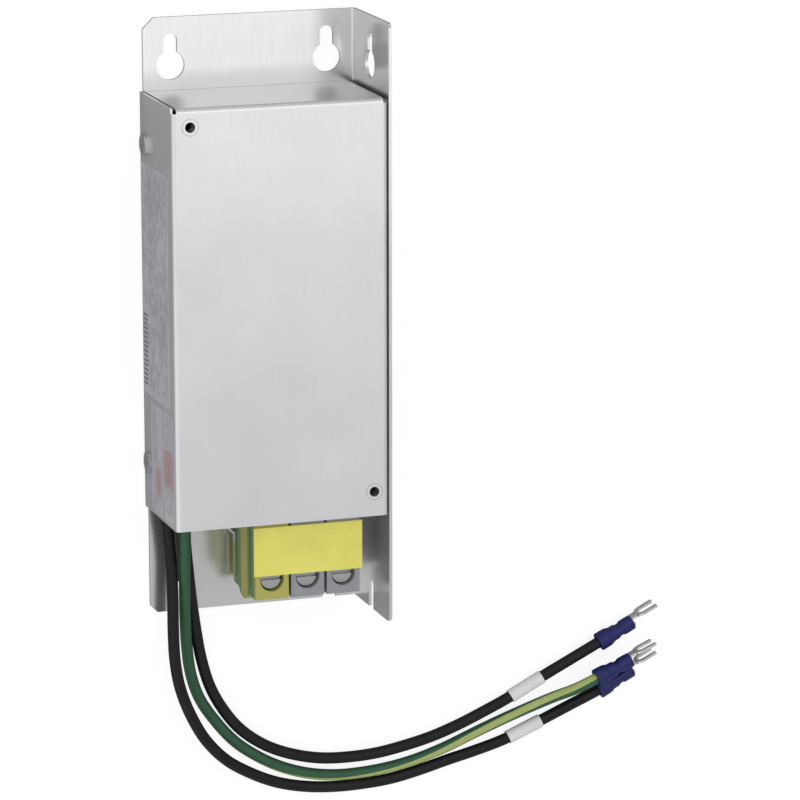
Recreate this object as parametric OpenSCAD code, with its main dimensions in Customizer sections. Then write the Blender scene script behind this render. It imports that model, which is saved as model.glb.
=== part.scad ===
// Footprint line filter. A folded chassis and cover hold a circuit board with a wound choke,
// a three-pole terminal block stands out of the lower end, and three crimped leads come out beside it.
// The back of the chassis lies on z = 0, the keyhole end points along +Y, the side flange is at +X.

/* [Housing] */
// Width over the cover's wall and the side flange
body_w = 72; // [70:0.5:78]
// Length of the back plate
body_l = 195; // [190:1:220]
// Depth from the mounting face to the front
body_d = 37; // [36:0.5:44]
// Thickness of the chassis sheet
chassis_t = 1; // [0.8:0.1:1.2]
// Thickness of the cover sheet
cover_t = 0.8; // [0.6:0.1:1]
// Outside radius of every fold
fold_r = 1.6; // [1.4:0.1:2]
// Bare plate above the box
top_margin = 23.5; // [21:0.5:26]
// Plate below the box, beside the terminals
lower_margin = 36; // [34:0.5:38]
// Corner cut of the back plate's upper end
corner_cut = 3.6; // [1:0.2:5]
// Corner cut of the back plate's lower end
low_corner_cut = 2.4; // [1:0.2:5]
// Radius of the side flange's free corners
flange_corner_r = 2.5; // [1:0.5:4]
// Gap between sheets that slide together
sheet_gap = 0.2; // [0.1:0.05:0.3]
// Depth of the cover's hidden lip behind the flange
lip_h = 8; // [5:0.5:12]

/* [Wall fixing] */
// Distance from the body's sides to the wall screws
fixing_inset_x = 10; // [9:0.5:12]
// Distance from the plate's ends to the wall screws' seats
fixing_inset_y = 7.5; // [6:0.5:9]
// Width of the screw slots
slot_w = 4.5; // [4:0.1:5]
// Diameter of the passage for the screw's head
passage_d = 9.3; // [8.5:0.1:10]
// Distance from the screw's seat to the middle of the passage
keyhole_drop = 8; // [7:0.5:9]
// Height of the flange's own holes above the mounting face
flange_hole_z = 18; // [14:0.5:22]

/* [Drive fixing] */
// Distance from the body's sides to the drive's screws
drive_inset_x = 6; // [6:0.5:10]
// Distance from the box's top edge to the upper screw
drive_inset_top = 6; // [6:0.5:10]
// Distance from the box's lower edge to the lower screw
drive_inset_low = 8; // [6:0.5:10]
// Core diameter of the M4 thread
thread_d = 3.3; // [3:0.1:3.5]
// Outside diameter of the press nut
nut_d = 6.4; // [6:0.1:6.4]
// Height of the press nut behind the sheet
nut_h = 4; // [3:0.5:5]

/* [Cover screws] */
// Diameter of the screw's shank
screw_d = 3.8; // [3:0.1:4]
// Diameter of the screw's head
screw_head_d = 7; // [6:0.5:8]
// Height of the screw's head
screw_head_h = 1.2; // [1:0.1:2]
// Length of the shank under the head
screw_l = 5; // [3:0.5:6]
// Width of the chassis lug that takes the screw
lug_w = 14; // [10:1:18]
// Height of the lug
lug_h = 13; // [11:0.5:16]
// Height of the screw above the mounting face
lug_screw_z = 6.5; // [6:0.5:8]
// Distance from the box's ends to the screws
lug_inset = 16; // [12:0.5:20]

/* [Terminal block] */
// Distance between poles
pole_pitch = 12; // [12:0.1:12.2]
// Gap between two poles' bodies
pole_gap = 0.9; // [0.2:0.1:1.2]
// Gap between the block and the side flange
block_side_gap = 7; // [6:0.5:8]
// Length of a pole's body
pole_l = 43; // [40:0.5:46]
// Height of the block's front over the mounting face
pole_top = 28.8; // [28:0.1:30]
// Length of the block that stands out of the box
block_out = 27; // [24:0.5:28]
// Height of the body's foot over the chassis
pole_foot_z = 2.2; // [1.8:0.1:2.6]
// Radius of the body's lower corners
pole_corner_r = 3; // [1:0.5:5]
// Diameter of the screwdriver well
well_d = 8; // [7:0.1:8.4]
// Distance from the body's end to the screw
well_inset = 6.5; // [6:0.1:8]
// Depth of the clamping screws' heads under the block's front
screw_sink = 1.6; // [0.5:0.1:2]
// Diameter of the wire entry
entry_d = 8; // [7:0.1:8.4]
// Height of the wire entry over the mounting face
entry_z = 15; // [14:0.1:15.4]
// Diameter of the rounded collar round the wire entry
collar_d = 13; // [11:0.5:14]
// How far the collar stands out of the body
collar_out = 2.7; // [1:0.1:3]
// Thickness of the yellow cover strip
strip_t = 0.8; // [0.6:0.1:1.2]
// Height of the cover strip
strip_h = 16; // [12:0.5:17]

/* [Terminal rail] */
// Width over the rail's lips
rail_w = 15; // [14:0.5:16]
// Height of the rail
rail_h = 5.5; // [5:0.1:5.6]
// Thickness of the rail
rail_t = 1; // [0.8:0.1:1]

/* [Circuit board] */
// Distance from the body's sides to the board
board_side_gap = 6; // [5:0.5:6]
// Distance from the box's top edge to the board
board_upper_gap = 8; // [7:0.5:9]
// Distance from the box's lower edge to the board
board_lower_gap = 23.5; // [23.5:0.5:25]
// Board thickness
board_t = 1.6; // [1:0.1:2]
// Height of the standoffs
standoff_h = 8; // [8:0.5:10]
// Distance from the board's edges to its screws
board_screw_inset = 4; // [3.5:0.1:5]

/* [Choke] */
// Outside diameter of the core
core_d = 40; // [36:0.5:42]
// Bore of the core
core_bore = 21; // [20:0.5:24]
// Height of the core
core_h = 13; // [10:0.5:13]
// Radius of the core's edges
core_edge_r = 1.5; // [1.5:0.1:2.5]
// Turns on each half
turns = 9; // [5:1:9]
// Wire diameter
wire_d = 1.6; // [1:0.1:1.8]

/* [Board parts] */
// Length of a suppression capacitor
capacitor_l = 26.5; // [20:0.5:30]
// Width of a suppression capacitor
capacitor_w = 10; // [8:0.5:11]
// Height of a suppression capacitor
capacitor_h = 18; // [15:0.5:20]
// Diameter of a disc capacitor
disc_d = 9; // [7:0.5:10]
// Shift of the disc capacitors toward the side flange
disc_shift = 3; // [2:0.5:5]
// Diameter of the discharge resistor
resistor_d = 3.2; // [2.5:0.1:4]

/* [Leads] */
// Diameter of the output leads
lead_d = 3.8; // [3.6:0.1:3.8]
// Diameter of the bushing's flanges
bushing_d = 13.5; // [13:0.5:13.5]
// Diameter of the bushing's neck
bushing_neck_d = 11; // [10:0.5:12]
// Outside diameter of the marker sleeves
marker_d = 4.6; // [4.4:0.1:4.7]
// Length of the marker sleeves
marker_l = 12.5; // [8:0.5:14]
// Length of the insulated crimp sleeve
sleeve_l = 13.6; // [12:0.1:15]
// Diameter of the sleeve's mouth
sleeve_mouth_d = 6.4; // [5.6:0.1:6.4]
// Diameter of the sleeve's barrel
sleeve_d = 5.2; // [4.8:0.1:5.4]
// Length of the fork in front of the sleeve
fork_l = 9.6; // [6:0.1:10.5]
// Width over the fork's prongs
fork_w = 6.2; // [5:0.1:6.4]
// Width of the fork's slot
fork_slot = 3.2; // [2.5:0.1:3.6]
// Thickness of the fork
fork_t = 0.8; // [0.6:0.1:1]

/* [Hidden] */
$fn = 48;
e = 0.01;               // overlap of cutting tools
through = 4;            // how far a cutter passes a sheet on each side
fit = 0.1;              // radial clearance of a shank in its hole

// Sheet metal
cover_x0 = -body_w / 2;
plate_x0 = cover_x0 + cover_t + sheet_gap;
plate_x1 = body_w / 2;
flange_x = plate_x1 - chassis_t;
box_y1 = body_l / 2 - top_margin;
box_y0 = -body_l / 2 + lower_margin;
cover_x1 = flange_x - sheet_gap;
cover_z0 = sheet_gap;
front_in_z = body_d - cover_t;
lug_y = [box_y1 - lug_inset, box_y0 + lug_inset];

// Wall fixing
seat_x = body_w / 2 - fixing_inset_x;
seat_y = body_l / 2 - fixing_inset_y;

// Drive fixing: one hole at the upper left, one at the lower right
drive_x = body_w / 2 - drive_inset_x;
drive_points = [[-drive_x, box_y1 - drive_inset_top], [drive_x, box_y0 + drive_inset_low]];
nut_neck_d = thread_d + 2;

// Cross recess of the cover screws
cross_l = 0.55 * screw_head_d;
cross_w = 0.9;
cross_depth = 0.6;

// End plate behind the box's lower edge
end_in = 0.7;
end_y = box_y0 + end_in;
end_foot = 6;
end_hook = 1;
block_gap = 0.3;

// Terminal block
pole_w = pole_pitch - pole_gap;
block_x = flange_x - block_side_gap - 3 * pole_pitch;
pole_y0 = box_y0 - block_out;
pole_cy = pole_y0 + pole_l / 2;
pole_x = [for (i = [0:2]) block_x + (i + 0.5) * pole_pitch];
pole_z0 = chassis_t + pole_foot_z;
rail_z1 = chassis_t + rail_h;
rail_lip = 2.25;
rail_wall_w = rail_w - 2 * rail_lip;
rail_hook = 1.2;
groove_z = [pole_z0 + 4.5, pole_top - 6];
groove_w = 1.4;
groove_depth = 0.5;
groove_end = 3;
screw_dy = pole_l / 2 - well_inset;
wire_space = 4.6;
clamp_w = 8.2;
clamp_t = 1.2;
clamp_top_t = 1.9;
clamp_gap = 0.2;
clamp_travel = 0.5;
bar_w = 5;
bar_t = 1.5;
bar_z = entry_z + wire_space / 2;
clamp_z0 = entry_z - wire_space / 2 - clamp_t;
clamp_h = clamp_t + wire_space + bar_t + clamp_travel + clamp_top_t;
clamp_screw_d = 3.4;
clamp_head_d = 6.8;
clamp_head_h = 2.2;
clamp_slot_w = 1;
clamp_slot_depth = 1.2;
well_z = pole_top - screw_sink - clamp_head_h;
strip_over = 0.2;
strip_drop = 3;

// Circuit board and what stands on it
board_z = chassis_t + standoff_h;
board_top = board_z + board_t;
board_w = body_w - 2 * board_side_gap;
board_y1 = box_y1 - board_upper_gap;
board_y0 = box_y0 + board_lower_gap;
board_l = board_y1 - board_y0;
board_points = [for (x = [-1, 1], y = [board_y0 + board_screw_inset, board_y1 - board_screw_inset])
  [x * (board_w / 2 - board_screw_inset), y]];
standoff_d = 6;
standoff_floor = 2;
board_screw_d = 3;
board_head_d = 5.5;
board_head_h = 1.8;
board_slot = 0.8;

// Choke
choke_y = (board_y0 + board_y1) / 2;
choke_base_t = 1;
divider_t = 1.5;
wire_gap = 0.2;
core_z = board_top + choke_base_t + wire_d + 2 * wire_gap + core_h / 2;
core_mid_r = (core_d + core_bore) / 4;
loop_a = (core_d - core_bore) / 4 + wire_gap + wire_d / 2;
loop_b = core_h / 2 + wire_gap + wire_d / 2;
winding_span = 140;
loop_steps = 12;

// Distances on the board
capacitor_gap = 2;
capacitor_rim = 1.5;
capacitor_recess = 0.5;
disc_gap = 3;
disc_t = 3;
disc_stand = 2;
disc_pitch = 4 * disc_d / 3;
leg_d = 0.8;
resistor_inset = 5;
resistor_l = 3 * resistor_d;
resistor_span = 5 * resistor_d;
capacitor_y = core_d / 2 + wire_d + capacitor_gap + capacitor_w / 2;

// Earth stud, measured like the wires from the box's lower left corner
stud = [22, 21];
stud_d = 4;
stud_h = 9;
lug_turn = [-42, 150];
ring_t = 0.8;
stud_lug_z = chassis_t + ring_t + lead_d / 2;
ring_d = 8;
ring_neck_w = 4;
earth_nut_h = 3.2;
earth_nut_af = 7;

// Bushing and leads, measured from the box's lower left corner
bushing = [8.2, 9.6];
bushing_flange_t = 1.5;
bushing_out = end_in - cover_t - bushing_flange_t;
bushing_in = end_in + bushing_flange_t;
lead_sides = 8;
marker_gap = 0.1;
mouth_l = 4;
mouth_taper = 1;
lead_seat = 5.5;
barrel_out = 0.5;
barrel_d = lead_d - 5 * fit;
upright = [0, 0, 1];
sideways = [1, 0, 0];
outer_turn = 27;
earth_turn = 24;
inner_turn = 27;
outer_mouth = [156.5, -76.7, 3.3];
earth_mouth = [154.4, -71.5, 7];
inner_mouth = [156.5, -60, 3.3];
fork_roll = [90, 88, 93];

// Routes of the leads, from the bushing's face to the sleeves
outer_route = [
  [5, bushing_out, 8], [5, -4.5, 8], [5.9, -13.4, 7.4], [6.5, -22.2, 7.6], [6.5, -31.5, 8.4],
  [6.4, -41.1, 8.9], [6.9, -50.9, 8.8], [8.7, -60.5, 8.3], [12.4, -70.2, 7.5], [17.7, -79.5, 6.5],
  [25, -87.4, 5.3], [33.9, -93.3, 4], [43.2, -97.7, 2.9], [53.4, -100.4, 2.2], [63.5, -101.5, 2],
  [73.5, -101.5, 2], [83.5, -100.7, 2], [93.5, -98.7, 2], [103, -96.3, 2], [113, -93.9, 2.2],
  [124, -90.7, 2.4], [136.5, -85.5, 2.5], [146, -81.3, 2.9], outer_mouth, seat(outer_mouth, outer_turn)
];
earth_route = [
  [10, bushing_out, 11.6], [10, -4.5, 11.6], [10.5, -13.5, 9.6], [10.7, -20.5, 8], [11, -28.5, 6.7],
  [11.5, -38, 5.2], [12.5, -47.5, 3], [14, -57.5, 2], [17, -66.5, 2], [22.5, -75, 2],
  [29, -82.5, 2], [37, -88.5, 2], [45.5, -93, 2], [54.5, -96, 2], [64, -97.5, 2],
  [74, -97.5, 2], [84, -96.5, 2], [93.5, -94.5, 2], [103, -91.5, 2], [112.5, -87.7, 2.2],
  [122, -84, 2.6], [131.5, -80.5, 3.2], [140, -77.3, 4.4], [147, -74.7, 6.2], earth_mouth,
  seat(earth_mouth, earth_turn)
];
inner_route = [
  [11, bushing_out, 6.6], [11, -4.5, 6.6], [12, -14.5, 5.2], [13.2, -24, 3.9], [14.4, -33.5, 3.1],
  [15.9, -43.5, 2.5], [17.7, -53, 2], [20.5, -62.5, 2], [25, -71, 2], [31, -78.5, 2],
  [39, -84.5, 2], [48, -88.5, 2], [58, -91, 2], [68, -91.7, 2], [78, -91.3, 2],
  [88, -89.7, 2], [97.5, -87.5, 2], [106.5, -84.5, 2], [116, -80.5, 2.2],
  [124.9, -76.4, 2.4], [136.8, -70.1, 2.6], [147, -64.9, 2.9], inner_mouth,
  seat(inner_mouth, inner_turn)
];

// Routes of the wires inside the box
wire_line = [
  [5, bushing_in, 8], [5, bushing_in + 2, 8], [5, 9.5, 9.5], [7, 15.5, 13], [11, 21, 16],
  [15.5, 25.5, 17], [18, 28, 15], [18, 28.5, 12.5], [18, 28.5, board_top]
];
wire_neutral = [
  [11, bushing_in, 6.6], [11, bushing_in + 2, 6.6], [11.5, 9.5, 8], [14, 15.5, 12.5],
  [19, 21, 16], [23.5, 25.5, 17], [26, 28, 15], [26, 28.5, 12.5], [26, 28.5, board_top]
];
wire_earth = [
  [10, bushing_in, 11.6], [10, bushing_in + 2, 11.6], [12.5, 7, 12.2], [15.8, 8.3, 10.6],
  [16.8, 9.8, 7.6], [16.2, 11.8, 4.8], [16.2, 14.2, stud_lug_z], [18, 16.3, stud_lug_z]
];

// Point inside a sleeve where the lead's end rests
function seat(mouth, turn) = mouth + lead_seat * [cos(turn), sin(turn), 0];

// Swept tube: one ring of points round every point of a path
function unit(v) = v / norm(v);
function direction(path, i) =
  unit(path[min(i + 1, len(path) - 1)] - path[max(i - 1, 0)]);
function ring(p, dir, ref, r, sides) =
  let (u = unit(cross(dir, ref)), v = cross(u, dir))
  [for (k = [0:sides - 1]) p + r * (cos(360 * k / sides) * u + sin(360 * k / sides) * v)];

module tube(path, r, sides, refs) {
  n = len(path);
  points = [for (i = [0:n - 1]) each ring(path[i], direction(path, i), refs[i], r, sides)];
  walls = [for (i = [0:n - 2], k = [0:sides - 1]) let (a = i * sides, b = a + sides, m = (k + 1) % sides)
    each [[a + k, b + k, b + m], [a + k, b + m, a + m]]];
  start = [for (k = [0:sides - 1]) k];
  end = [for (k = [sides - 1:-1:0]) (n - 1) * sides + k];
  polyhedron(points, concat([start], walls, [end]));
}

// Places what is measured from the box's lower left corner
module at_corner() translate([cover_x0, box_y0, 0]) children();

module lead(route, d, ref) at_corner()
  tube(route, d / 2, lead_sides, [for (p = route) ref]);

// Outline with rounded upper corners, standing on y = 0
module arch(w, h, r) {
  square([w, h - r]);
  translate([r, 0]) square([w - 2 * r, h]);
  for (x = [r, w - r]) translate([x, h - r]) circle(r);
}

// Angle section: a leg of length w along x, a fold at its end and a leg of height h
module angle(w, h, t) {
  square([w - fold_r, t]);
  translate([w - t, fold_r]) square([t, h - fold_r]);
  translate([w - fold_r, fold_r]) intersection() {
    difference() {
      circle(fold_r);
      circle(fold_r - t);
    }
    translate([0, -fold_r]) square(fold_r);
  }
}

// Extrudes an outline drawn in x and z along y, from y0 to y1
module along_y(y0, y1) {
  translate([0, y1, 0]) rotate([90, 0, 0]) linear_extrude(y1 - y0) children();
}

// Extrudes an outline drawn in y and z along x, from x0 to x1
module along_x(x0, x1) {
  translate([x0, 0, 0]) rotate([90, 0, 90]) linear_extrude(x1 - x0) children();
}

// Keyhole outline with the screw's seat at the origin
module keyhole() {
  circle(d = slot_w);
  translate([-slot_w / 2, -keyhole_drop]) square([slot_w, keyhole_drop]);
  translate([0, -keyhole_drop]) circle(d = passage_d);
}

// Slot outline that runs out of the plate's lower edge
module open_slot() {
  circle(d = slot_w);
  translate([-slot_w / 2, -fixing_inset_y - through]) square([slot_w, fixing_inset_y + through]);
}

module sheet_cut(h) {
  translate([0, 0, -through]) linear_extrude(h + 2 * through) children();
}

// Rounds a free flange corner: sy is the end, at +Y or -Y
module flange_corner(sy) {
  translate([flange_x - through, sy * body_l / 2, body_d]) scale([1, sy, 1]) rotate([90, 0, 90])
    linear_extrude(chassis_t + 2 * through) difference() {
      translate([-flange_corner_r, -flange_corner_r]) square(2 * flange_corner_r);
      translate([-flange_corner_r, -flange_corner_r]) circle(flange_corner_r);
    }
}

// Cuts a free corner of the back plate: sy is the end, at +Y or -Y
module plate_corner(sy, cut) translate([plate_x0, sy * body_l / 2, 0]) rotate(45)
  cube([cut * sqrt(2), cut * sqrt(2), 2 * through], center = true);

module chassis() color("gainsboro") difference() {
  union() {
    translate([plate_x0, 0, 0]) along_y(-body_l / 2, body_l / 2)
      angle(plate_x1 - plate_x0, body_d, chassis_t);
    for (y = lug_y) translate([plate_x0, 0, 0]) mirror([1, 0, 0]) translate([-lug_h, 0, 0])
      along_y(y - lug_w / 2, y + lug_w / 2) angle(lug_h, lug_h, chassis_t);
  }
  for (x = [-seat_x, seat_x]) {
    translate([x, seat_y, 0]) sheet_cut(chassis_t) keyhole();
    translate([x, -seat_y, 0]) sheet_cut(chassis_t) open_slot();
  }
  translate([flange_x, 0, flange_hole_z]) rotate([0, 90, 0]) sheet_cut(chassis_t) {
    translate([0, seat_y]) keyhole();
    translate([0, -seat_y]) open_slot();
  }
  plate_corner(1, corner_cut);
  plate_corner(-1, low_corner_cut);
  for (sy = [-1, 1]) flange_corner(sy);
  for (y = lug_y) translate([plate_x0, y, lug_screw_z]) rotate([0, 90, 0])
    cylinder(d = screw_d + 2 * fit, h = 2 * through, center = true);
}

module cover() color("silver") difference() {
  union() {
    translate([cover_x0, 0, cover_z0]) along_y(box_y0, box_y1 - fold_r) difference() {
      arch(cover_x1 - cover_x0, body_d - cover_z0, fold_r);
      translate([cover_t, -e])
        arch(cover_x1 - cover_x0 - 2 * cover_t, front_in_z - cover_z0 + e, fold_r - cover_t);
      translate([cover_x1 - cover_x0 - 2 * cover_t, -e]) square([through, body_d - lip_h - cover_z0]);
    }
    translate([cover_x0, box_y1 - fold_r - e, cover_z0])
      cube([cover_t, fold_r + e, body_d - fold_r - cover_z0]);
    along_x(cover_x0 + fold_r, cover_x1 - fold_r) translate([box_y1 - end_foot, body_d])
      mirror([0, 1]) angle(end_foot, body_d - chassis_t - sheet_gap, cover_t);
  }
  for (p = drive_points) translate([p[0], p[1], front_in_z]) cylinder(d = nut_neck_d + 2 * fit, h = through);
  for (y = lug_y) translate([cover_x0, y, lug_screw_z]) rotate([0, 90, 0])
    cylinder(d = screw_d + 4 * fit, h = 2 * through, center = true);
}

module end_plate() color("lightgray") difference() {
  translate([0, 0, chassis_t]) {
    along_x(plate_x0 + chassis_t, cover_x1 - fold_r) translate([end_y - cover_t, 0])
      square([cover_t, front_in_z - chassis_t - fit]);
    along_x(plate_x0 + chassis_t, block_x - block_gap - end_hook) translate([end_y + end_foot, 0])
      mirror([1, 0]) angle(end_foot + cover_t, fold_r + end_hook, cover_t);
  }
  translate([block_x - block_gap, end_y - through, 0])
    cube([3 * pole_pitch + 2 * block_gap, 2 * through, pole_top + block_gap]);
  at_corner() translate([bushing[0], end_in, bushing[1]]) rotate([90, 0, 0])
    cylinder(d = bushing_neck_d + 2 * fit, h = 2 * through, center = true);
}

module cover_screws() color("silver")
  for (y = lug_y) translate([cover_x0, y, lug_screw_z]) rotate([0, 90, 0]) difference() {
    union() {
      translate([0, 0, -screw_head_h]) cylinder(d = screw_head_d, h = screw_head_h);
      cylinder(d = screw_d, h = screw_l);
    }
    for (a = [0, 90]) rotate(a) translate([0, 0, -screw_head_h])
      cube([cross_l, cross_w, 2 * cross_depth], center = true);
  }

module drive_nuts() color("silver")
  for (p = drive_points) translate([p[0], p[1], front_in_z]) difference() {
    union() {
      translate([0, 0, -nut_h]) cylinder(d = nut_d, h = nut_h);
      cylinder(d = nut_neck_d, h = cover_t);
    }
    translate([0, 0, -nut_h - e]) cylinder(d = thread_d, h = nut_h + cover_t + 2 * e);
  }

module lead_bushing() color("dimgray") at_corner()
  translate([bushing[0], bushing_in, bushing[1]]) rotate([90, 0, 0]) {
    cylinder(d = bushing_d, h = bushing_flange_t);
    cylinder(d = bushing_neck_d, h = bushing_in - bushing_out);
    translate([0, 0, bushing_in - bushing_out - bushing_flange_t])
      cylinder(d = bushing_d, h = bushing_flange_t);
  }

module terminal_rail() color("lightgray") translate([0, pole_cy, chassis_t])
  along_x(block_x, block_x + 3 * pole_pitch) {
    translate([-rail_wall_w / 2, 0]) square([rail_wall_w, rail_t]);
    for (s = [-1, 1]) scale([s, 1]) {
      translate([rail_wall_w / 2 - rail_t, 0]) square([rail_t, rail_h]);
      translate([rail_wall_w / 2 - rail_t, rail_h - rail_t])
        square([rail_lip + rail_t, rail_t]);
    }
  }

// Side outline of a pole, in y and z, with the channel that grips the rail
module pole_outline() difference() {
  union() {
    translate([-pole_l / 2, pole_z0 + pole_corner_r]) square([pole_l, pole_top - pole_z0 - pole_corner_r]);
    translate([-pole_l / 2 + pole_corner_r, pole_z0]) square([pole_l - 2 * pole_corner_r, pole_corner_r + e]);
    for (s = [-1, 1]) {
      translate([s * (pole_l / 2 - pole_corner_r), pole_z0 + pole_corner_r]) circle(pole_corner_r);
      translate([s * (pole_l / 2 + collar_out - collar_d / 2), entry_z]) circle(d = collar_d);
    }
  }
  translate([-rail_w / 2 - sheet_gap, rail_z1 - rail_t - sheet_gap])
    square([rail_w + 2 * sheet_gap, rail_t + sheet_gap]);
  translate([-rail_w / 2 + rail_hook, 0]) square([rail_w - 2 * rail_hook, rail_z1]);
}

module pole(i, shade) color(shade) translate([pole_x[i], pole_cy, 0]) difference() {
  along_x(-pole_w / 2, pole_w / 2) pole_outline();
  for (s = [-1, 1]) translate([0, s * screw_dy, 0]) {
    translate([0, 0, well_z]) cylinder(d = well_d, h = pole_top);
    cylinder(d = clamp_screw_d + 4 * fit, h = pole_top);
    translate([-clamp_w / 2 - clamp_gap, -clamp_w / 2 - clamp_gap, clamp_z0 - clamp_gap])
      cube([clamp_w + 2 * clamp_gap, clamp_w + 2 * clamp_gap, clamp_h + 2 * clamp_gap]);
    translate([0, 0, entry_z]) rotate([-90 * s, 0, 0]) cylinder(d = entry_d, h = pole_l);
  }
  translate([-bar_w / 2 - clamp_gap, -screw_dy, bar_z - clamp_gap])
    cube([bar_w + 2 * clamp_gap, 2 * screw_dy, bar_t + 2 * clamp_gap]);
  for (z = groove_z) translate([-pole_w / 2, 0, z])
    cube([2 * groove_depth, pole_l - 2 * groove_end, groove_w], center = true);
}

module terminal_earth() pole(0, "yellowgreen");
module terminal_line() pole(1, "lightsteelblue");
module terminal_neutral() pole(2, "lightsteelblue");

module terminal_screws() color("silver")
  for (x = pole_x, s = [-1, 1]) translate([x, pole_cy + s * screw_dy, well_z]) difference() {
    union() {
      cylinder(d = clamp_head_d, h = clamp_head_h);
      translate([0, 0, bar_z + bar_t - well_z]) cylinder(d = clamp_screw_d, h = well_z - bar_z - bar_t + e);
    }
    translate([-clamp_head_d, -clamp_slot_w / 2, clamp_head_h - clamp_slot_depth])
      cube([2 * clamp_head_d, clamp_slot_w, 2 * clamp_slot_depth]);
  }

module terminal_cages() color("darkgray")
  for (x = pole_x, s = [-1, 1]) translate([x, pole_cy + s * screw_dy, clamp_z0]) difference() {
    translate([-clamp_w / 2, -clamp_w / 2, 0]) cube([clamp_w, clamp_w, clamp_h]);
    translate([-clamp_w / 2 + clamp_t, -clamp_w, clamp_t])
      cube([clamp_w - 2 * clamp_t, 2 * clamp_w, clamp_h - clamp_t - clamp_top_t]);
    cylinder(d = clamp_screw_d + 2 * fit, h = 2 * clamp_h);
  }

module terminal_bars() color("goldenrod")
  for (x = pole_x) translate([x - bar_w / 2, pole_cy - screw_dy - bar_w / 2, bar_z])
    cube([bar_w, 2 * screw_dy + bar_w, bar_t]);

module terminal_strip() color("khaki")
  translate([block_x - strip_over, box_y0 - strip_drop - strip_h, pole_top])
    cube([3 * pole_pitch + 2 * strip_over, strip_h, strip_t]);

module circuit_board() color("darkgreen") difference() {
  translate([-board_w / 2, board_y0, board_z]) cube([board_w, board_l, board_t]);
  for (p = board_points) translate([p[0], p[1], board_z - e])
    cylinder(d = board_screw_d + 2 * fit, h = board_t + 2 * e);
}

module board_standoffs() color("silver")
  for (p = board_points) translate([p[0], p[1], chassis_t]) difference() {
    cylinder(d = standoff_d, h = standoff_h, $fn = 6);
    translate([0, 0, standoff_floor]) cylinder(d = board_screw_d + 2 * fit, h = standoff_h);
  }

module board_screws() color("silver")
  for (p = board_points) translate([p[0], p[1], board_top]) difference() {
    union() {
      translate([0, 0, -board_t - standoff_h / 2])
        cylinder(d = board_screw_d, h = board_t + standoff_h / 2 + e);
      cylinder(d = board_head_d, h = board_head_h);
    }
    translate([-board_head_d, -board_slot / 2, board_head_h - board_slot])
      cube([2 * board_head_d, board_slot, 2 * board_slot]);
  }

module choke_base() color("whitesmoke") translate([0, choke_y, board_top])
  cylinder(d = core_d + 2 * wire_d, h = choke_base_t);

module choke_core() color("darkslategray") translate([0, choke_y, core_z]) rotate_extrude()
  translate([core_mid_r, 0]) {
    square([(core_d - core_bore) / 2, core_h - 2 * core_edge_r], center = true);
    square([(core_d - core_bore) / 2 - 2 * core_edge_r, core_h], center = true);
    for (x = [-1, 1], z = [-1, 1])
      translate([x * ((core_d - core_bore) / 4 - core_edge_r), z * (core_h / 2 - core_edge_r)])
        circle(core_edge_r);
  }

module choke_divider() color("whitesmoke")
  translate([-core_bore / 2 + 2 * wire_gap, choke_y - divider_t / 2, board_top + choke_base_t])
    cube([core_bore - 4 * wire_gap, divider_t, core_z + core_h / 2 - board_top - choke_base_t]);

// One half winding: a wire wound round the core's rounded section while it runs round the ring
function squared(v) = sign(v) * pow(abs(v), 0.25);
function winding_point(i, start) =
  let (a = 360 * i / loop_steps,
       spin = start + winding_span * i / (turns * loop_steps),
       r = core_mid_r + loop_a * squared(cos(a)))
  [r * cos(spin), choke_y + r * sin(spin), core_z + loop_b * squared(sin(a))];
function winding_ref(i, start) =
  let (spin = start + winding_span * i / (turns * loop_steps))
  [-sin(spin), cos(spin), 0];

module winding(start) {
  steps = [0:turns * loop_steps];
  tube([for (i = steps) winding_point(i, start)], wire_d / 2, 6, [for (i = steps) winding_ref(i, start)]);
}

module choke_winding_line() color("chocolate") winding(90 - winding_span / 2);
module choke_winding_neutral() color("chocolate") winding(270 - winding_span / 2);

module box_capacitor(y, shade) color(shade)
  translate([-capacitor_l / 2, y - capacitor_w / 2, board_top]) difference() {
    cube([capacitor_l, capacitor_w, capacitor_h]);
    translate([capacitor_rim, capacitor_rim, -e])
      cube([capacitor_l - 2 * capacitor_rim, capacitor_w - 2 * capacitor_rim, capacitor_recess]);
  }

module capacitor_input() box_capacitor(choke_y - capacitor_y, "gold");
module capacitor_output() box_capacitor(choke_y + capacitor_y, "gold");

module disc_capacitors() color("royalblue")
  for (x = [-disc_pitch / 2, disc_pitch / 2])
    translate([disc_shift + x, choke_y - capacitor_y - capacitor_w / 2 - disc_gap, board_top]) {
      translate([0, 0, disc_d / 2 + disc_stand]) rotate([90, 0, 0]) cylinder(d = disc_d, h = disc_t);
      for (s = [-1, 1]) translate([s * disc_d / 4, -disc_t / 2, 0])
        cylinder(d = leg_d, h = disc_d / 2 + disc_stand);
    }

module discharge_resistor() color("tan")
  translate([0, board_y1 - resistor_inset, board_top + resistor_d / 2 + sheet_gap]) {
    rotate([0, 90, 0]) cylinder(d = resistor_d, h = resistor_l, center = true);
    rotate([0, 90, 0]) cylinder(d = leg_d, h = resistor_span, center = true);
    for (s = [-1, 1]) translate([s * resistor_span / 2, 0, 0]) {
      translate([0, 0, -resistor_d / 2 - sheet_gap]) cylinder(d = leg_d, h = resistor_d / 2 + sheet_gap);
      sphere(d = leg_d);
    }
  }

module at_stud() at_corner() translate([stud[0], stud[1], chassis_t]) children();

module earth_stud() color("silver") at_stud() cylinder(d = stud_d, h = stud_h);

// Ring with its barrel, pointing along -Y before it is turned
module ring_lug(turn) rotate(turn) difference() {
  union() {
    cylinder(d = ring_d, h = ring_t);
    translate([-ring_neck_w / 2, -ring_d, 0]) cube([ring_neck_w, ring_d, ring_t]);
  }
  translate([0, 0, -e]) cylinder(d = stud_d + 2 * fit, h = ring_t + 2 * e);
}

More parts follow.
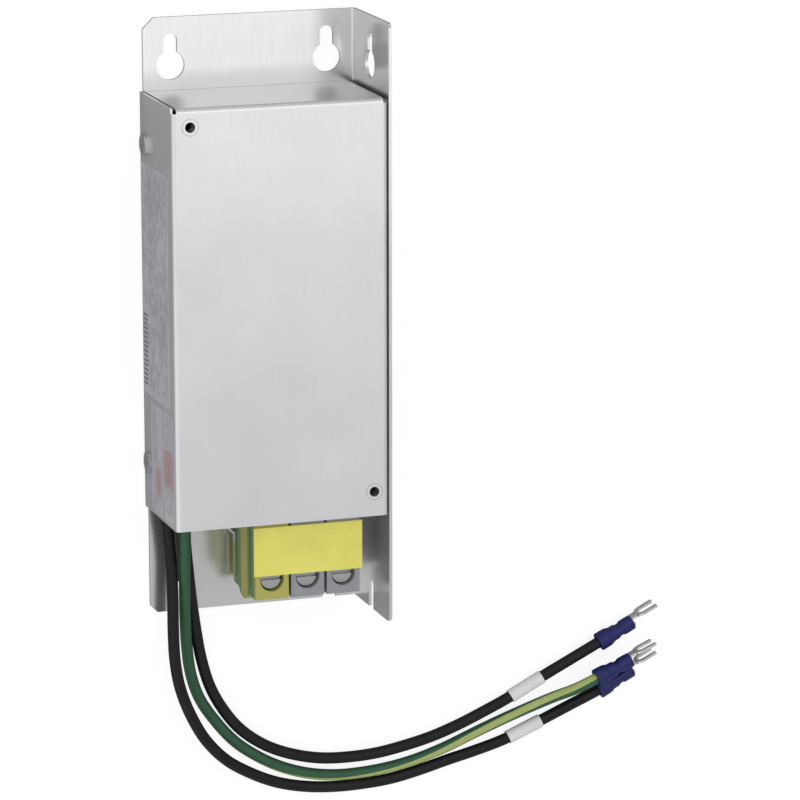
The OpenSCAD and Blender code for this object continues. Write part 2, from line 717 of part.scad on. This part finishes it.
module earth_rings() color("silver") at_stud() {
  ring_lug(lug_turn[0]);
  translate([0, 0, ring_t + fit]) ring_lug(lug_turn[1]);
}

module earth_nut() color("silver") at_stud() translate([0, 0, 2 * ring_t + 2 * fit]) difference() {
  cylinder(d = earth_nut_af / cos(30), h = earth_nut_h, $fn = 6);
  translate([0, 0, -e]) cylinder(d = stud_d + 2 * fit, h = earth_nut_h + 2 * e);
}

module inner_wires() color("black") {
  lead(wire_line, lead_d, sideways);
  lead(wire_neutral, lead_d, sideways);
}

module inner_earth_wires() color("green") lead(wire_earth, lead_d, upright);

module lead_black_outer() color("black") lead(outer_route, lead_d, upright);
module lead_earth() color("green") lead(earth_route, lead_d, upright);
module lead_black_inner() color("black") lead(inner_route, lead_d, upright);

// Marker sleeve round the straight stretch of a route that starts at point i
module marker(route, i) {
  run = unit(route[i + 1] - route[i]);
  middle = (route[i + 1] + route[i]) / 2;
  color("white") at_corner() translate(middle) rotate([0, acos(run[2]), atan2(run[1], run[0])]) difference() {
    cylinder(d = marker_d, h = marker_l, center = true);
    cylinder(d = lead_d + 2 * marker_gap, h = 2 * marker_l, center = true);
  }
}

module marker_outer() marker(outer_route, 20);
module marker_inner() marker(inner_route, 19);

// Places a crimp with its mouth at a point, pointing along x before it is turned
module at_mouth(mouth, turn, roll) at_corner()
  translate(mouth) rotate([0, 0, turn]) rotate([roll, 0, 0]) children();

// Insulated sleeve: bell mouth for the lead, barrel for the metal
module crimp_sleeve() color("navy") rotate([0, 90, 0]) difference() {
  union() {
    cylinder(d = sleeve_mouth_d, h = mouth_l);
    translate([0, 0, mouth_l - e]) cylinder(d1 = sleeve_mouth_d, d2 = sleeve_d, h = mouth_taper + e);
    cylinder(d = sleeve_d, h = sleeve_l);
  }
  translate([0, 0, -e]) cylinder(d = lead_d + 4 * fit, h = lead_seat + e);
  cylinder(d = lead_d - 3 * fit, h = sleeve_l + e);
}

// Metal barrel with its forked tongue on the barrel's lower side
module crimp_fork() color("silver") {
  translate([lead_seat + fit, 0, 0]) rotate([0, 90, 0])
    cylinder(d = barrel_d, h = sleeve_l - lead_seat - fit + barrel_out);
  translate([sleeve_l, 0, -barrel_d / 2 - fork_t / 2]) linear_extrude(fork_t) difference() {
    union() {
      translate([0, -fork_slot / 2]) square([fork_l, fork_slot]);
      translate([fork_l / 2, -fork_w / 2]) square([fork_l / 2, fork_w]);
      translate([fork_l / 2, 0]) circle(d = fork_w);
    }
    translate([fork_l / 2, 0]) circle(d = fork_slot);
    translate([fork_l / 2, -fork_slot / 2]) square([fork_l, fork_slot]);
  }
}

module sleeve_outer() at_mouth(outer_mouth, outer_turn, 0) crimp_sleeve();
module sleeve_earth() at_mouth(earth_mouth, earth_turn, 0) crimp_sleeve();
module sleeve_inner() at_mouth(inner_mouth, inner_turn, 0) crimp_sleeve();
module fork_outer() at_mouth(outer_mouth, outer_turn, fork_roll[0]) crimp_fork();
module fork_earth() at_mouth(earth_mouth, earth_turn, fork_roll[1]) crimp_fork();
module fork_inner() at_mouth(inner_mouth, inner_turn, fork_roll[2]) crimp_fork();

chassis();
cover();
end_plate();
cover_screws();
drive_nuts();
lead_bushing();
terminal_rail();
terminal_earth();
terminal_line();
terminal_neutral();
terminal_screws();
terminal_cages();
terminal_bars();
terminal_strip();
circuit_board();
board_standoffs();
board_screws();
choke_base();
choke_core();
choke_divider();
choke_winding_line();
choke_winding_neutral();
capacitor_input();
capacitor_output();
disc_capacitors();
discharge_resistor();
earth_stud();
earth_rings();
earth_nut();
inner_wires();
inner_earth_wires();
lead_black_outer();
lead_earth();
lead_black_inner();
marker_outer();
marker_inner();
sleeve_outer();
sleeve_earth();
sleeve_inner();
fork_outer();
fork_earth();
fork_inner();
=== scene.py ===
import math

import bpy
from mathutils import Matrix, Vector


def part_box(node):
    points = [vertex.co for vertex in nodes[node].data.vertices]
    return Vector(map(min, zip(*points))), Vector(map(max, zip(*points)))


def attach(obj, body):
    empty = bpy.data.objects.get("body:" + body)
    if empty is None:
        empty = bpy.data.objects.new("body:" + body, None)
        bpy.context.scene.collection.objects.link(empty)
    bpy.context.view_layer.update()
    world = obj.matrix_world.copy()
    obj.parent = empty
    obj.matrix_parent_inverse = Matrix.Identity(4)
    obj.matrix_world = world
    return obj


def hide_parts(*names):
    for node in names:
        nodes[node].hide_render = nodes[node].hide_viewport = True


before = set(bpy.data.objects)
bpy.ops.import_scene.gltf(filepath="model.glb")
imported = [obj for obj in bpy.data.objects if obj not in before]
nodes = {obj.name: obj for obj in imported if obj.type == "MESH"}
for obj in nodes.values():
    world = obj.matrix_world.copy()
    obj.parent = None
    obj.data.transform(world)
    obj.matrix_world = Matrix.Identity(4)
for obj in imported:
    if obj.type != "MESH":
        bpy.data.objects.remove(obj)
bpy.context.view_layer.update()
MM = 0.001
WHITE = (1, 1, 1, 1)
UNIFORM = (1, 1, 1)
GRAIN_DEPTH = 0.2 * MM

# ---------------------------------------------------------------- camera
# Lens and pose were solved so that the plate, its holes and the terminals lie as in the photograph
camera_data = bpy.data.cameras.new("camera")
camera_data.lens = 203.14
camera_data.sensor_width = 36
camera = bpy.data.objects.new("camera", camera_data)
bpy.context.scene.collection.objects.link(camera)
camera.matrix_world = Matrix(
    (
        (0.9475, 0.0736, -0.3111, -0.41028),
        (-0.0009, 0.9737, 0.2278, 0.30477),
        (0.3197, -0.2156, 0.9227, 1.3684),
        (0, 0, 0, 1),
    )
)
bpy.context.scene.camera = camera


# ---------------------------------------------------------------- shapes
def mesh_object(name, verts, faces, smooth=True, uvs=None):
    """New mesh in the scene; uvs has one pair for each corner."""
    mesh = bpy.data.meshes.new(name)
    mesh.from_pydata([tuple(v) for v in verts], [], faces)
    mesh.update()
    if uvs:
        layer = mesh.uv_layers.new(name="run")
        for loop in mesh.loops:
            layer.data[loop.index].uv = uvs[loop.vertex_index]
    for polygon in mesh.polygons:
        polygon.use_smooth = smooth
    obj = bpy.data.objects.new(name, mesh)
    bpy.context.scene.collection.objects.link(obj)
    return obj


def curve_points(points, step):
    """Points along a smooth curve through the given ones."""
    pts = [2 * points[0] - points[1]] + points + [2 * points[-1] - points[-2]]
    out = []
    for a, b, c, d in zip(pts, pts[1:], pts[2:], pts[3:]):
        steps = max(1, round((c - b).length / step))
        for i in range(steps):
            t = i / steps
            line = 2 * b + (c - a) * t
            square = (2 * a - 5 * b + 4 * c - d) * t * t
            cube = (3 * b - a - 3 * c + d) * t * t * t
            out.append(0.5 * (line + square + cube))
    out.append(pts[-2])
    return out


def ring_faces(rings, sides):
    """Faces of a closed skin over rings of equally many corners."""
    faces = []
    last = (rings - 1) * sides
    for low in range(0, last, sides):
        high = low + sides
        for k in range(sides):
            after = (k + 1) % sides
            faces.append((low + k, low + after, high + after, high + k))
    faces.append(tuple(range(sides))[::-1])
    faces.append(tuple(range(last, last + sides)))
    return faces


def tube(name, path, radius, sides):
    """Round tube along a path in metres; its uv gives the way along and the share of the way round."""
    verts = []
    uvs = []
    side = Vector((0, 0, 1)).cross(path[1] - path[0]).normalized()
    way = 0.0
    for i, point in enumerate(path):
        along = (path[min(i + 1, len(path) - 1)] - path[max(i - 1, 0)]).normalized()
        side = (side - along * side.dot(along)).normalized()
        up = along.cross(side)
        if i:
            way += (point - path[i - 1]).length
        for k in range(sides):
            angle = 2 * math.pi * k / sides
            verts.append(point + radius * (math.cos(angle) * side + math.sin(angle) * up))
            uvs.append((way, k / sides))
    return mesh_object(name, verts, ring_faces(len(path), sides), uvs=uvs)


def lathe(name, profile, place, sides, squeeze):
    """Solid of revolution along local x from (x, r) pairs in millimetres; squeeze(x) flattens it there."""
    verts = []
    for x, r in profile:
        for k in range(sides):
            angle = 2 * math.pi * k / sides
            corner = Vector((x, r * math.cos(angle), r * math.sin(angle) * squeeze(x)))
            verts.append(place @ (corner * MM))
    return mesh_object(name, verts, ring_faces(len(profile), sides))


def soften(obj, width):
    """Round an object's sharp edges by a width in millimetres."""
    bevel = obj.modifiers.new("edge", "BEVEL")
    bevel.width = width * MM
    bevel.segments = 2
    bevel.limit_method = "ANGLE"
    bevel.angle_limit = math.radians(40)


def block(name, low, high, edge):
    """Box between two corners in millimetres, with softened edges."""
    x0, y0, z0 = low
    x1, y1, z1 = high
    verts = [Vector((x, y, z)) * MM for x in (x0, x1) for y in (y0, y1) for z in (z0, z1)]
    faces = [(0, 1, 3, 2), (4, 6, 7, 5), (0, 4, 5, 1), (2, 3, 7, 6), (0, 2, 6, 4), (1, 5, 7, 3)]
    obj = mesh_object(name, verts, faces, smooth=False)
    soften(obj, edge)
    return obj


# ---------------------------------------------------------------- node trees
class Nodes:
    """A node tree that is built call by call."""

    def __init__(self, tree):
        self.tree = tree

    def add(self, kind, **settings):
        node = self.tree.nodes.new(kind)
        for key, value in settings.items():
            setattr(node, key, value)
        return node

    def link(self, a, b):
        self.tree.links.new(a, b)

    def feed(self, socket, value):
        """Link an output to a socket, or set the socket to a plain value."""
        if hasattr(value, "links"):
            self.link(value, socket)
        else:
            socket.default_value = value

    def coords(self, stretch=UNIFORM, source="Object"):
        tex = self.add("ShaderNodeTexCoord")
        mapping = self.add("ShaderNodeMapping")
        mapping.inputs["Scale"].default_value = stretch
        self.link(tex.outputs[source], mapping.inputs["Vector"])
        return mapping.outputs["Vector"]

    def split(self, vector):
        node = self.add("ShaderNodeSeparateXYZ")
        self.link(vector, node.inputs[0])
        return node.outputs["X"], node.outputs["Y"], node.outputs["Z"]

    def noise(self, scale, stretch=UNIFORM, detail=3.0):
        node = self.add("ShaderNodeTexNoise")
        node.inputs["Scale"].default_value = scale
        node.inputs["Detail"].default_value = detail
        self.link(self.coords(stretch), node.inputs["Vector"])
        return node.outputs["Fac"]

    def ramp(self, value, low, high, start=0.3, end=0.7):
        """Low up to start, high from end on; unless told otherwise, over most of a noise's span."""
        node = self.add("ShaderNodeMapRange")
        for socket, number in (("From Min", start), ("From Max", end), ("To Min", low), ("To Max", high)):
            node.inputs[socket].default_value = number
        self.link(value, node.inputs["Value"])
        return node.outputs["Result"]

    def mix(self, share, a, b):
        """Colour mix; a plain colour is given as three numbers."""
        node = self.add("ShaderNodeMix", data_type="RGBA")
        self.link(share, node.inputs[0])
        for socket, colour in ((6, a), (7, b)):
            self.feed(node.inputs[socket], (*colour, 1) if isinstance(colour, tuple) else colour)
        return node.outputs[2]

    def blend(self, share, a, b):
        """Shader mix."""
        node = self.add("ShaderNodeMixShader")
        for socket, value in enumerate((share, a, b)):
            self.link(value, node.inputs[socket])
        return node.outputs[0]

    def math(self, operation, a, b=0.0):
        node = self.add("ShaderNodeMath", operation=operation)
        self.feed(node.inputs[0], a)
        self.feed(node.inputs[1], b)
        return node.outputs[0]

    def product(self, *values):
        out = values[0]
        for value in values[1:]:
            out = self.math("MULTIPLY", out, value)
        return out

    def glow(self, kind, strength):
        """White emission or background of one strength."""
        node = self.add(kind)
        node.inputs["Color"].default_value = WHITE
        node.inputs["Strength"].default_value = strength
        return node.outputs[0]


class Shader(Nodes):
    """A principled material."""

    def __init__(self, name, rough, metal=0.0, gloss=0.5):
        self.mat = bpy.data.materials.new(name)
        self.mat.use_nodes = True
        super().__init__(self.mat.node_tree)
        self.bsdf = self.tree.nodes["Principled BSDF"]
        self.bsdf.inputs["Roughness"].default_value = rough
        self.bsdf.inputs["Metallic"].default_value = metal
        self.bsdf.inputs["Specular IOR Level"].default_value = gloss

    def colour(self, value):
        self.link(value, self.bsdf.inputs["Base Color"])

    def rough(self, value):
        self.link(value, self.bsdf.inputs["Roughness"])

    def bump(self, value, strength):
        node = self.add("ShaderNodeBump")
        node.inputs["Strength"].default_value = strength
        node.inputs["Distance"].default_value = GRAIN_DEPTH
        self.link(value, node.inputs["Height"])
        self.link(node.outputs["Normal"], self.bsdf.inputs["Normal"])


# ---------------------------------------------------------------- materials
def tint(rgb, factor):
    return tuple(c * factor for c in rgb)


def plain(name, rgb, rough, metal, spread, scale, grain, gloss=0.5):
    """A moulded, rubber or metal surface with slight mottling and a fine grain."""
    rough_spread = 0.06
    rough_scale = 0.6 * scale
    grain_scale = 9 * scale
    s = Shader(name, rough, metal, gloss)
    s.colour(s.mix(s.ramp(s.noise(scale), 0, 1), tint(rgb, 1 - spread), tint(rgb, 1 + spread)))
    s.rough(s.ramp(s.noise(rough_scale), rough - rough_spread, rough + rough_spread))
    s.bump(s.noise(grain_scale), grain)
    return s


def sheet_metal(name, rgb, rough):
    """Zinc plated sheet with a faint rolling direction along y and soft clouds."""
    spread = 0.04
    line_share = 0.08
    line_tint = 0.7
    cloud_rough = 0.015
    line_rough = 0.02
    s = Shader(name, rough, metal=0.85)
    lines = s.noise(2600, stretch=(1, 0.04, 1), detail=2.0)
    cloud = s.noise(28, detail=4.0)
    base = s.mix(s.ramp(cloud, 0, 1), tint(rgb, 1 - spread), tint(rgb, 1 + spread))
    s.colour(s.mix(s.ramp(lines, 0, line_share), base, tint(rgb, line_tint)))
    clouded = s.ramp(cloud, rough - cloud_rough, rough + cloud_rough)
    s.rough(s.math("ADD", clouded, s.ramp(lines, -line_rough, line_rough)))
    s.bump(lines, 0.03)
    return s


def earth_plastic():
    """Green polyamide with broad yellow bands across the block's height."""
    band = 7.2 * MM
    green_middle = -5.6 * MM
    s = Shader("earth_plastic", 0.5)
    _, _, z = s.split(s.coords())
    from_green = s.math("PINGPONG", s.math("SUBTRACT", z, green_middle), band)
    base = s.mix(s.math("GREATER_THAN", from_green, band / 2), (0.13, 0.24, 0.08), (0.46, 0.44, 0.10))
    s.colour(s.mix(s.ramp(s.noise(260), 0, 0.12), base, (0.3, 0.3, 0.2)))
    s.bump(s.noise(2000), 0.08)
    return s


def earth_insulation():
    """Green lead insulation with one narrow yellow stripe that winds slowly round it."""
    turns_per_metre = 3.2
    stripe_start = 0.30
    stripe_width = 0.20
    s = Shader("earth_insulation", 0.42, gloss=0.3)
    way, share, _ = s.split(s.coords(source="UV"))
    turn = s.math("ADD", s.math("ADD", share, s.math("MULTIPLY", way, turns_per_metre)), stripe_start)
    stripe = s.math("LESS_THAN", s.math("FRACT", turn), stripe_width)
    base = s.mix(stripe, (0.030, 0.105, 0.055), (0.42, 0.49, 0.17))
    s.colour(s.mix(s.ramp(s.noise(300), 0, 0.1), base, (0.1, 0.2, 0.1)))
    s.bump(s.noise(2500), 0.08)
    return s


def label_paper(name, low, high, bars=None, patch=None):
    """Worn label paper with broken ruled lines along y; bars and patch are boxes on it.

    Corners are (y, z) and pitches are in millimetres.
    """
    line_pitch = 2.4
    line_share = 0.38
    bar_pitch = 1.5
    margin_y = 2
    margin_z = 1.5
    ink_strength = 0.5
    patch_strength = 0.75
    s = Shader(name, 0.6)
    _, y, z = s.split(s.coords())

    def between(value, a, b):
        return s.product(s.math("GREATER_THAN", value, a * MM), s.math("LESS_THAN", value, b * MM))

    def inside(box):
        (ya, za), (yb, zb) = box
        return s.product(between(y, ya, yb), between(z, za, zb))

    def share_of(value, pitch):
        return s.math("FRACT", s.math("MULTIPLY", value, 1 / (pitch * MM)))

    lines = s.math("LESS_THAN", share_of(z, line_pitch), line_share)
    words = s.math("GREATER_THAN", s.noise(260, stretch=(0.2, 1, 1), detail=1.0), 0.5)
    (y0, z0), (y1, z1) = low, high
    field = inside(((y0 + margin_y, z0 + margin_z), (y1 - margin_y, z1 - margin_z)))
    ink = s.product(lines, words, field, ink_strength)
    if bars:
        code = s.math("GREATER_THAN", share_of(y, bar_pitch), 0.5)
        ruled = s.mix(ink, (0, 0, 0), (1, 1, 1))
        ink = s.mix(inside(bars), ruled, s.mix(code, (0.05, 0.05, 0.05), (0.92, 0.92, 0.92)))
    wear = s.ramp(s.noise(60, stretch=(1, 0.5, 1), detail=4.0), 0, 1)
    paper = s.mix(wear, (0.44, 0.44, 0.49), (0.58, 0.58, 0.62))
    if patch:
        paper = s.mix(s.product(inside(patch), patch_strength), paper, (0.52, 0.30, 0.32))
    s.colour(s.mix(ink, paper, (0.16, 0.16, 0.18)))
    s.bump(s.noise(1500), 0.05)
    return s


# Name: colour, roughness, metallic, spread and scale of the mottling, grain and, for dull ones, gloss
PLAIN = {
    "screw_steel": ((0.60, 0.60, 0.60), 0.32, 0.9, 0.08, 500, 0.05),
    "rail_steel": ((0.60, 0.60, 0.61), 0.38, 0.85, 0.06, 300, 0.05),
    # The terminal screws' steel is darker than screw_steel: partly a duller steel, partly painted shade of
    # the wells they sit in
    "dull_and_shaded_steel": ((0.46, 0.46, 0.47), 0.42, 0.85, 0.08, 500, 0.05),
    "tin": ((0.72, 0.72, 0.71), 0.30, 0.9, 0.08, 600, 0.05),
    "brass": ((0.62, 0.46, 0.20), 0.34, 0.9, 0.08, 400, 0.05),
    "rubber_black": ((0.008, 0.008, 0.010), 0.42, 0.0, 0.2, 300, 0.12, 0.25),
    "sleeve_blue": ((0.010, 0.016, 0.12), 0.36, 0.0, 0.15, 260, 0.1, 0.35),
    "marker_white": ((0.78, 0.78, 0.79), 0.55, 0.0, 0.04, 300, 0.05),
    "terminal_grey": ((0.31, 0.315, 0.34), 0.5, 0.0, 0.06, 260, 0.1),
    "strip_yellow": ((0.84, 0.79, 0.16), 0.48, 0.0, 0.05, 120, 0.05),
    "board_green": ((0.03, 0.16, 0.06), 0.35, 0.0, 0.1, 150, 0.05),
    "ferrite": ((0.05, 0.055, 0.055), 0.6, 0.0, 0.1, 300, 0.1),
    "enamel": ((0.36, 0.11, 0.03), 0.25, 0.5, 0.1, 400, 0.03),
    "nylon": ((0.72, 0.72, 0.66), 0.5, 0.0, 0.05, 200, 0.08),
    "capacitor_yellow": ((0.66, 0.48, 0.06), 0.45, 0.0, 0.06, 200, 0.08),
    "disc_blue": ((0.03, 0.12, 0.42), 0.35, 0.0, 0.1, 300, 0.1),
    "resistor_beige": ((0.52, 0.40, 0.25), 0.5, 0.0, 0.08, 300, 0.1),
}
finishes = {name: plain(name, *values) for name, values in PLAIN.items()}
finishes["zinc_cover"] = sheet_metal("zinc_cover", (0.80, 0.80, 0.815), 0.33)
finishes["zinc_plate"] = sheet_metal("zinc_plate", (0.76, 0.76, 0.765), 0.20)
finishes["earth_plastic"] = earth_plastic()
finishes["earth_insulation"] = earth_insulation()


def wear_finish(obj, finish):
    """Give an object one of the finishes, in place of what it had."""
    obj.data.materials.clear()
    obj.data.materials.append(finishes[finish].mat)


# ---------------------------------------------------------------- leads
# The routes are those of the solids, in millimetres. The point before the last is the sleeve's mouth.
OUTER = [
    (-31, -63.1, 8), (-31, -66, 8), (-30.1, -74.9, 7.4), (-29.5, -83.7, 7.6), (-29.5, -93, 8.4),
    (-29.6, -102.6, 8.9), (-29.1, -112.4, 8.8), (-27.3, -122, 8.3), (-23.6, -131.7, 7.5), (-18.3, -141, 6.5),
    (-11, -148.9, 5.3), (-2.1, -154.8, 4), (7.2, -159.2, 2.9), (17.4, -161.9, 2.2), (27.5, -163, 2),
    (37.5, -163, 2), (47.5, -162.2, 2), (57.5, -160.2, 2), (67, -157.8, 2), (77, -155.4, 2.2),
    (88, -152.2, 2.4), (100.5, -147, 2.5), (110, -142.8, 2.9), (120.5, -138.2, 3.3), (125.4, -135.7, 3.3),
]
EARTH = [
    (-26, -63.1, 11.6), (-26, -66, 11.6), (-25.5, -75, 9.6), (-25.3, -82, 8), (-25, -90, 6.7),
    (-24.5, -99.5, 5.2), (-23.5, -109, 3), (-22, -119, 2), (-19, -128, 2), (-13.5, -136.5, 2),
    (-7, -144, 2), (1, -150, 2), (9.5, -154.5, 2), (18.5, -157.5, 2), (28, -159, 2),
    (38, -159, 2), (48, -158, 2), (57.5, -156, 2), (67, -153, 2), (76.5, -149.2, 2.2),
    (86, -145.5, 2.6), (95.5, -142, 3.2), (104, -138.8, 4.4), (111, -136.2, 6.2), (118.4, -133, 7),
    (123.4, -130.8, 7),
]
INNER = [
    (-25, -63.1, 6.6), (-25, -66, 6.6), (-24, -76, 5.2), (-22.8, -85.5, 3.9), (-21.6, -95, 3.1),
    (-20.1, -105, 2.5), (-18.3, -114.5, 2), (-15.5, -124, 2), (-11, -132.5, 2), (-5, -140, 2),
    (3, -146, 2), (12, -150, 2), (22, -152.5, 2), (32, -153.2, 2), (42, -152.8, 2),
    (52, -151.2, 2), (61.5, -149, 2), (70.5, -146, 2), (80, -142, 2.2), (88.9, -137.9, 2.4),
    (100.8, -131.6, 2.6), (111, -126.4, 2.9), (120.5, -121.5, 3.3), (125.4, -119, 3.3),
]
LEAD_D = 3.8
LEAD_SIDES = 20
ROUTE_STEP = 2

# Half section of a sleeve along the lead: bell mouth, waist, crimped barrel, tail end
SLEEVE = [
    (0.3, 2.05), (0.0, 2.3), (0.0, 3.0), (0.25, 3.2), (3.4, 3.15), (4.2, 3.0), (5.0, 2.65), (5.6, 2.6),
    (6.4, 2.6), (7.2, 2.55), (7.8, 2.45), (8.8, 2.45), (9.4, 2.55), (10.2, 2.6), (12.9, 2.6), (13.4, 2.5),
    (13.6, 2.25), (13.6, 1.75), (12.9, 1.68),
]
SLEEVE_SIDES = 36
CRIMP_FROM = 7.5
CRIMP_TO = 9.1
CRIMP_FLAT = 0.86

# Name: route, the lead's node and finish, the crimp's heading and roll in degrees, and what goes with it
LEADS = {
    "outer": (OUTER, "lead_black_outer", "rubber_black", (27, 90), ["marker_outer", "fork_outer"]),
    "earth": (EARTH, "lead_earth", "earth_insulation", (24, 88), ["fork_earth"]),
    "inner": (INNER, "lead_black_inner", "rubber_black", (27, 93), ["marker_inner", "fork_inner"]),
}


def crimped(x):
    """How flat the sleeve is pressed at x millimetres from its mouth."""
    return CRIMP_FLAT if CRIMP_FROM < x < CRIMP_TO else 1.0


def at_mouth(mouth, heading, roll):
    """Place of a sleeve whose mouth is at a point in millimetres."""
    turned = Matrix.Rotation(math.radians(heading), 4, "Z") @ Matrix.Rotation(math.radians(roll), 4, "X")
    return Matrix.Translation(Vector(mouth) * MM) @ turned


def make_lead(key, route, node, finish):
    """Round lead in place of its solid, and the path that it follows."""
    path = curve_points([Vector(p) * MM for p in route], ROUTE_STEP * MM)
    lead = tube(key + "_lead", path, LEAD_D / 2 * MM, LEAD_SIDES)
    wear_finish(lead, finish)
    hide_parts(node)
    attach(lead, "root")
    return lead, path


def make_sleeve(key, mouth, turns):
    """Crimp sleeve in place of its solid."""
    sleeve = lathe(key + "_sleeve", SLEEVE, at_mouth(mouth, *turns), SLEEVE_SIDES, crimped)
    wear_finish(sleeve, "sleeve_blue")
    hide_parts("sleeve_" + key)
    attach(sleeve, "root")
    return sleeve


leads = {key: make_lead(key, route, node, finish) for key, (route, node, finish, _, _) in LEADS.items()}
for key, (route, _, _, turns, others) in LEADS.items():
    sleeve = make_sleeve(key, route[-2], turns)

# ---------------------------------------------------------------- labels
# The paper sinks a hair into the cover's left wall, so that no gap shows
PAPER_T = 0.14
PAPER_SINK = 0.01
PAPER_EDGE = 0.05
wall_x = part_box("cover")[0].x / MM


def label(name, low, high, **marks):
    """Thin label on the cover's left wall, between two (y, z) corners in millimetres."""
    obj = block(name, (wall_x - PAPER_T, *low), (wall_x + PAPER_SINK, *high), PAPER_EDGE)
    obj.data.materials.append(label_paper(name, low, high, **marks).mat)
    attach(obj, "root")


label("data_label", (-23, 1.2), (52, 31), bars=((-20.2, 1.9), (3.3, 6.5)))
label("small_label_back", (-60.3, 9.0), (-25, 21.0), patch=((-54, 14), (-45, 20.5)))
label("small_label_front", (-60.3, 23.6), (-25, 34.0), patch=((-49, 23), (-37, 34)))

# ---------------------------------------------------------------- CAD nodes
# Finish: the CAD nodes that wear it
WORN_BY = {
    "zinc_plate": ["chassis"],
    "zinc_cover": ["cover", "end_plate", "drive_nuts"],
    "screw_steel": ["cover_screws", "board_standoffs", "board_screws", "earth_stud", "earth_nut"],
    "rail_steel": ["terminal_rail", "terminal_cages"],
    "dull_and_shaded_steel": ["terminal_screws"],
    "tin": ["earth_rings", "fork_outer", "fork_earth", "fork_inner"],
    "brass": ["terminal_bars"],
    "rubber_black": ["lead_bushing", "inner_wires"],
    "earth_insulation": ["inner_earth_wires"],
    "earth_plastic": ["terminal_earth"],
    "terminal_grey": ["terminal_line", "terminal_neutral"],
    "strip_yellow": ["terminal_strip"],
    "marker_white": ["marker_outer", "marker_inner"],
    "board_green": ["circuit_board"],
    "nylon": ["choke_base", "choke_divider"],
    "ferrite": ["choke_core"],
    "enamel": ["choke_winding_line", "choke_winding_neutral"],
    "capacitor_yellow": ["capacitor_input", "capacitor_output"],
    "disc_blue": ["disc_capacitors"],
    "resistor_beige": ["discharge_resistor"],
}
for finish, wearers in WORN_BY.items():
    for name in wearers:
        wear_finish(nodes[name], finish)

# Width of the softened edges in millimetres
SOFT_EDGES = {
    "cover_screws": 0.25, "terminal_earth": 0.3, "terminal_line": 0.3, "terminal_neutral": 0.3,
    "terminal_screws": 0.2, "terminal_strip": 0.25, "marker_outer": 0.1, "marker_inner": 0.1,
    "fork_outer": 0.12, "fork_earth": 0.12, "fork_inner": 0.12, "lead_bushing": 0.4,
}
for name, width in SOFT_EDGES.items():
    soften(nodes[name], width)


# ---------------------------------------------------------------- light and stage
def studio_world():
    """Soft white light, stronger from the left. The camera itself sees plain white."""
    left = 0.93
    right = 0.56
    world = bpy.data.worlds.new("world")
    bpy.context.scene.world = world
    world.use_nodes = True
    sky = Nodes(world.node_tree)
    light = sky.tree.nodes["Background"]
    light.inputs["Color"].default_value = WHITE
    x, _, _ = sky.split(sky.coords(source="Generated"))
    sky.link(sky.ramp(x, left, right, start=-0.55, end=0.35), light.inputs["Strength"])
    white = sky.glow("ShaderNodeBackground", 1.0)
    rays = sky.add("ShaderNodeLightPath")
    seen = sky.blend(rays.outputs["Is Camera Ray"], light.outputs[0], white)
    sky.link(seen, sky.tree.nodes["World Output"].inputs["Surface"])


def softbox():
    """One large lamp high over the part's upper right, facing straight down as a new lamp does."""
    data = bpy.data.lights.new("softbox", "AREA")
    data.shape = "RECTANGLE"
    data.size = 0.9
    data.size_y = 0.96
    data.energy = 1.8
    obj = bpy.data.objects.new("softbox", data)
    obj.location = (0.35, 0.33, 1.0)
    bpy.context.scene.collection.objects.link(obj)


def floor_paint():
    """Grey to the light, white to the camera and, away from the part, in mirrors; it keeps the shadow."""
    near = 0.2
    far = 0.5
    whiteness = 0.78
    s = Shader("floor", 0.9)
    rays = s.add("ShaderNodeLightPath").outputs
    in_view = rays["Is Camera Ray"]
    ground = s.mix(s.noise(3.0), (0.39, 0.39, 0.39), (0.41, 0.41, 0.41))
    s.colour(s.mix(in_view, ground, (0.95, 0.95, 0.95)))
    reach = s.add("ShaderNodeVectorMath", operation="LENGTH")
    s.link(s.coords(), reach.inputs[0])
    # Close to the part, mirrors see the grey floor instead of the white glow: painted shade, which darkens
    # the part's metal sides
    away = s.ramp(reach.outputs["Value"], 0, 1, near, far)
    in_mirror = s.math("MAXIMUM", rays["Is Glossy Ray"], rays["Is Transmission Ray"])
    shown = s.math("MAXIMUM", in_view, s.product(in_mirror, away))
    glow = s.glow("ShaderNodeEmission", 1.10)
    paint = s.blend(s.product(shown, whiteness), s.bsdf.outputs[0], glow)
    s.link(paint, s.tree.nodes["Material Output"].inputs["Surface"])
    return s.mat


studio_world()
softbox()
FLOOR_HALF = 3
FLOOR_Z = -0.4 * MM
square = [(-1, -1), (1, -1), (1, 1), (-1, 1)]
corners = [(x * FLOOR_HALF, y * FLOOR_HALF, FLOOR_Z) for x, y in square]
floor = mesh_object("floor", corners, [(0, 1, 2, 3)], smooth=False)
floor.data.materials.append(floor_paint())

bpy.context.scene.view_settings.view_transform = "Standard"
